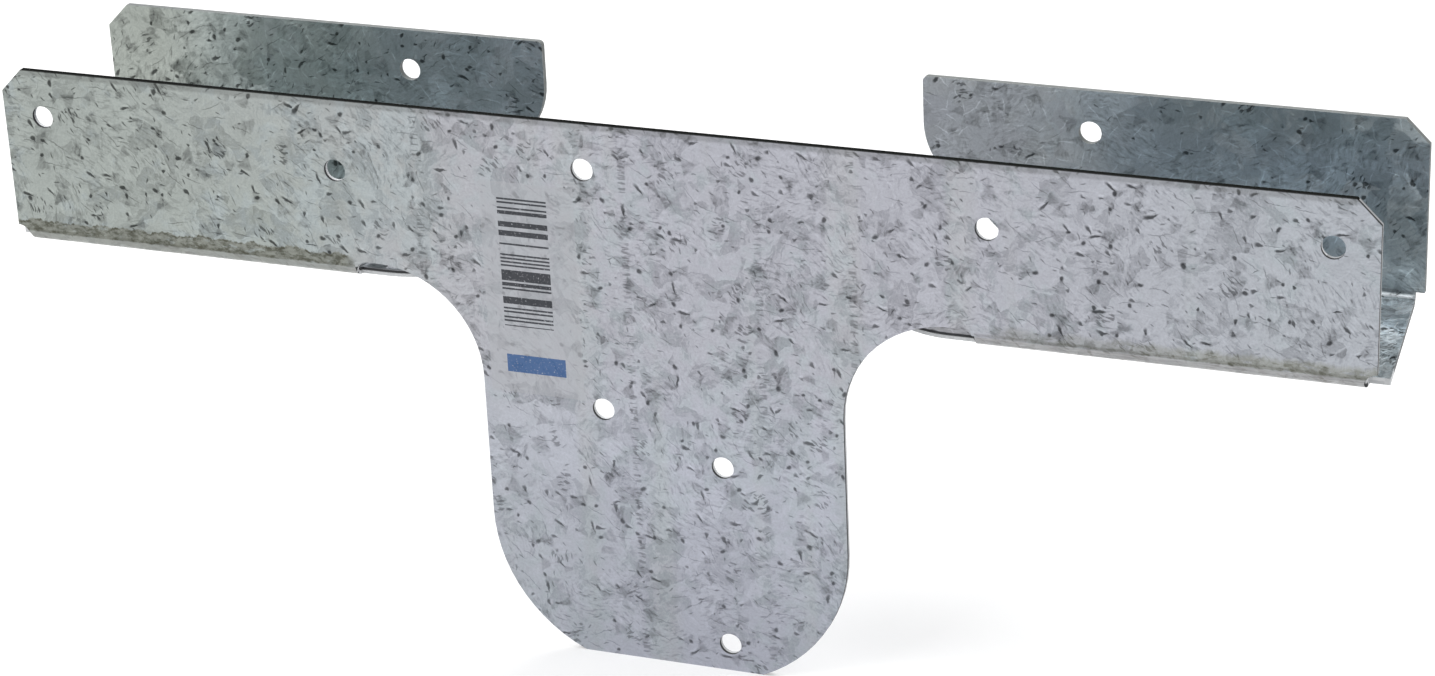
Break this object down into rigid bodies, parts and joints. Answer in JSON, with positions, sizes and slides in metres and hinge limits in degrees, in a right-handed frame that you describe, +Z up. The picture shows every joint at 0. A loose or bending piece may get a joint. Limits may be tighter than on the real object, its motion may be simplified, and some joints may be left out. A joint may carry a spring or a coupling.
{
  "type": "rigid tie connector",
  "caption": "Folded galvanized sheet connector: a T-shaped face plate whose arms fold into open channels for a beam, with a rounded tongue that nails to a post.",
  "frame": {"origin": "on the inner face of the face plate, at seat height, halfway along the arms", "axes": "+X along the arms, +Y from the face plate to the rear flanges, +Z up, away from the tongue"},
  "size_m": [0.272, 0.0423, 0.1086],
  "materials": {
    "galvanized_sheet": "hot-dip galvanized, satin, with a mottled spangle"
  },
  "bodies": {
    "root": {"tie_connector": "galvanized_sheet"}
  },
  "joints": []
}
